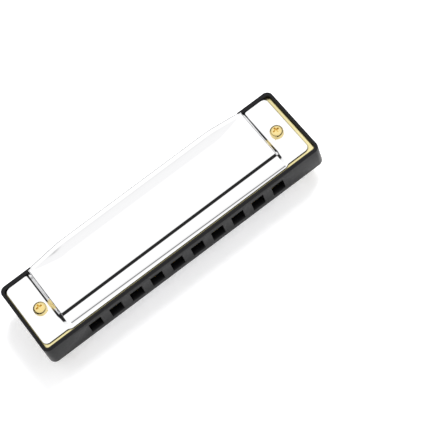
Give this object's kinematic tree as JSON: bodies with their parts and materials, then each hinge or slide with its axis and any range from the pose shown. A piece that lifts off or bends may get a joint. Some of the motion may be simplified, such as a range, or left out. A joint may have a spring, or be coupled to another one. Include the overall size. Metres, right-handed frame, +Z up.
{
  "type": "diatonic harmonica",
  "caption": "Free-reed mouth instrument: slotted comb between two reed plates under folded chrome covers, with sprung reeds in graded slots.",
  "frame": {"origin": "under the middle of the instrument, on the plane that the lower cover's crest touches", "axes": "+X along the instrument towards the highest hole, +Y from the mouth holes to the back, +Z up through the covers"},
  "size_m": [0.1014, 0.0268, 0.019],
  "materials": {
    "black_plastic": "moulded ABS, satin gloss",
    "chrome": "polished plating on pressed sheet",
    "plate_brass": "rolled sheet, fine brushed",
    "reed_brass": "milled along the tongue",
    "rivet_brass": "turned",
    "screw_brass": "bright turned"
  },
  "bodies": {
    "root": {"comb": "black_plastic", "upper_reed_plate": "plate_brass", "lower_reed_plate": "plate_brass", "upper_cover": "chrome", "lower_cover": "chrome", "blow_rivet_01": "rivet_brass", "blow_rivet_02": "rivet_brass", "blow_rivet_03": "rivet_brass", "blow_rivet_04": "rivet_brass", "blow_rivet_05": "rivet_brass", "blow_rivet_06": "rivet_brass", "blow_rivet_07": "rivet_brass", "blow_rivet_08": "rivet_brass", "blow_rivet_09": "rivet_brass", "blow_rivet_10": "rivet_brass", "draw_rivet_01": "rivet_brass", "draw_rivet_02": "rivet_brass", "draw_rivet_03": "rivet_brass", "draw_rivet_04": "rivet_brass", "draw_rivet_05": "rivet_brass", "draw_rivet_06": "rivet_brass", "draw_rivet_07": "rivet_brass", "draw_rivet_08": "rivet_brass", "draw_rivet_09": "rivet_brass", "draw_rivet_10": "rivet_brass", "upper_plate_pin_1": "rivet_brass", "upper_plate_pin_2": "rivet_brass", "upper_plate_pin_3": "rivet_brass", "upper_plate_pin_4": "rivet_brass", "lower_plate_pin_1": "rivet_brass", "lower_plate_pin_2": "rivet_brass", "lower_plate_pin_3": "rivet_brass", "lower_plate_pin_4": "rivet_brass", "left_cover_screw": "screw_brass", "right_cover_screw": "screw_brass", "left_square_nut": "screw_brass", "right_square_nut": "screw_brass"},
    "blow_reed_01": {"blow_reed_01": "reed_brass"},
    "draw_reed_01": {"draw_reed_01": "reed_brass"},
    "blow_reed_02": {"blow_reed_02": "reed_brass"},
    "draw_reed_02": {"draw_reed_02": "reed_brass"},
    "blow_reed_03": {"blow_reed_03": "reed_brass"},
    "draw_reed_03": {"draw_reed_03": "reed_brass"},
    "blow_reed_04": {"blow_reed_04": "reed_brass"},
    "draw_reed_04": {"draw_reed_04": "reed_brass"},
    "blow_reed_05": {"blow_reed_05": "reed_brass"},
    "draw_reed_05": {"draw_reed_05": "reed_brass"},
    "blow_reed_06": {"blow_reed_06": "reed_brass"},
    "draw_reed_06": {"draw_reed_06": "reed_brass"},
    "blow_reed_07": {"blow_reed_07": "reed_brass"},
    "draw_reed_07": {"draw_reed_07": "reed_brass"},
    "blow_reed_08": {"blow_reed_08": "reed_brass"},
    "draw_reed_08": {"draw_reed_08": "reed_brass"},
    "blow_reed_09": {"blow_reed_09": "reed_brass"},
    "draw_reed_09": {"draw_reed_09": "reed_brass"},
    "blow_reed_10": {"blow_reed_10": "reed_brass"},
    "draw_reed_10": {"draw_reed_10": "reed_brass"}
  },
  "joints": [
    {"name": "blow_reed_01_swing", "type": "hinge", "parent": "root", "child": "blow_reed_01", "pos_m": [-0.03355, -0.0089, 0.01163], "axis": [1, 0, 0], "range_deg": [-4, 4], "stiffness_Nm_per_rad": 0.00116},
    {"name": "draw_reed_01_swing", "type": "hinge", "parent": "root", "child": "draw_reed_01", "pos_m": [-0.03355, 0.00785, 0.0059], "axis": [1, 0, 0], "range_deg": [-4, 4], "stiffness_Nm_per_rad": 0.000793},
    {"name": "blow_reed_02_swing", "type": "hinge", "parent": "root", "child": "blow_reed_02", "pos_m": [-0.02605, -0.0089, 0.01163], "axis": [1, 0, 0], "range_deg": [-4, 4], "stiffness_Nm_per_rad": 0.00102},
    {"name": "draw_reed_02_swing", "type": "hinge", "parent": "root", "child": "draw_reed_02", "pos_m": [-0.02605, 0.00729, 0.0059], "axis": [1, 0, 0], "range_deg": [-4, 4], "stiffness_Nm_per_rad": 0.000703},
    {"name": "blow_reed_03_swing", "type": "hinge", "parent": "root", "child": "blow_reed_03", "pos_m": [-0.01855, -0.0089, 0.01163], "axis": [1, 0, 0], "range_deg": [-4, 4], "stiffness_Nm_per_rad": 0.000893},
    {"name": "draw_reed_03_swing", "type": "hinge", "parent": "root", "child": "draw_reed_03", "pos_m": [-0.01855, 0.00674, 0.0059], "axis": [1, 0, 0], "range_deg": [-4, 4], "stiffness_Nm_per_rad": 0.00062},
    {"name": "blow_reed_04_swing", "type": "hinge", "parent": "root", "child": "blow_reed_04", "pos_m": [-0.01105, -0.0089, 0.01163], "axis": [1, 0, 0], "range_deg": [-4, 4], "stiffness_Nm_per_rad": 0.000777},
    {"name": "draw_reed_04_swing", "type": "hinge", "parent": "root", "child": "draw_reed_04", "pos_m": [-0.01105, 0.00618, 0.0059], "axis": [1, 0, 0], "range_deg": [-4, 4], "stiffness_Nm_per_rad": 0.000544},
    {"name": "blow_reed_05_swing", "type": "hinge", "parent": "root", "child": "blow_reed_05", "pos_m": [-0.00355, -0.0089, 0.01163], "axis": [1, 0, 0], "range_deg": [-4, 4], "stiffness_Nm_per_rad": 0.000671},
    {"name": "draw_reed_05_swing", "type": "hinge", "parent": "root", "child": "draw_reed_05", "pos_m": [-0.00355, 0.00563, 0.0059], "axis": [1, 0, 0], "range_deg": [-4, 4], "stiffness_Nm_per_rad": 0.000474},
    {"name": "blow_reed_06_swing", "type": "hinge", "parent": "root", "child": "blow_reed_06", "pos_m": [0.00395, -0.0089, 0.01163], "axis": [1, 0, 0], "range_deg": [-4, 4], "stiffness_Nm_per_rad": 0.000575},
    {"name": "draw_reed_06_swing", "type": "hinge", "parent": "root", "child": "draw_reed_06", "pos_m": [0.00395, 0.00507, 0.0059], "axis": [1, 0, 0], "range_deg": [-4, 4], "stiffness_Nm_per_rad": 0.00041},
    {"name": "blow_reed_07_swing", "type": "hinge", "parent": "root", "child": "blow_reed_07", "pos_m": [0.01145, -0.0089, 0.01163], "axis": [1, 0, 0], "range_deg": [-4, 4], "stiffness_Nm_per_rad": 0.000489},
    {"name": "draw_reed_07_swing", "type": "hinge", "parent": "root", "child": "draw_reed_07", "pos_m": [0.01145, 0.00452, 0.0059], "axis": [1, 0, 0], "range_deg": [-4, 4], "stiffness_Nm_per_rad": 0.000353},
    {"name": "blow_reed_08_swing", "type": "hinge", "parent": "root", "child": "blow_reed_08", "pos_m": [0.01895, -0.0089, 0.01163], "axis": [1, 0, 0], "range_deg": [-4, 4], "stiffness_Nm_per_rad": 0.000411},
    {"name": "draw_reed_08_swing", "type": "hinge", "parent": "root", "child": "draw_reed_08", "pos_m": [0.01895, 0.00396, 0.0059], "axis": [1, 0, 0], "range_deg": [-4, 4], "stiffness_Nm_per_rad": 0.000301},
    {"name": "blow_reed_09_swing", "type": "hinge", "parent": "root", "child": "blow_reed_09", "pos_m": [0.02645, -0.0089, 0.01163], "axis": [1, 0, 0], "range_deg": [-4, 4], "stiffness_Nm_per_rad": 0.000343},
    {"name": "draw_reed_09_swing", "type": "hinge", "parent": "root", "child": "draw_reed_09", "pos_m": [0.02645, 0.00341, 0.0059], "axis": [1, 0, 0], "range_deg": [-4, 4], "stiffness_Nm_per_rad": 0.000254},
    {"name": "blow_reed_10_swing", "type": "hinge", "parent": "root", "child": "blow_reed_10", "pos_m": [0.03395, -0.0089, 0.01163], "axis": [1, 0, 0], "range_deg": [-4, 4], "stiffness_Nm_per_rad": 0.000282},
    {"name": "draw_reed_10_swing", "type": "hinge", "parent": "root", "child": "draw_reed_10", "pos_m": [0.03395, 0.00285, 0.0059], "axis": [1, 0, 0], "range_deg": [-4, 4], "stiffness_Nm_per_rad": 0.000213}
  ]
}
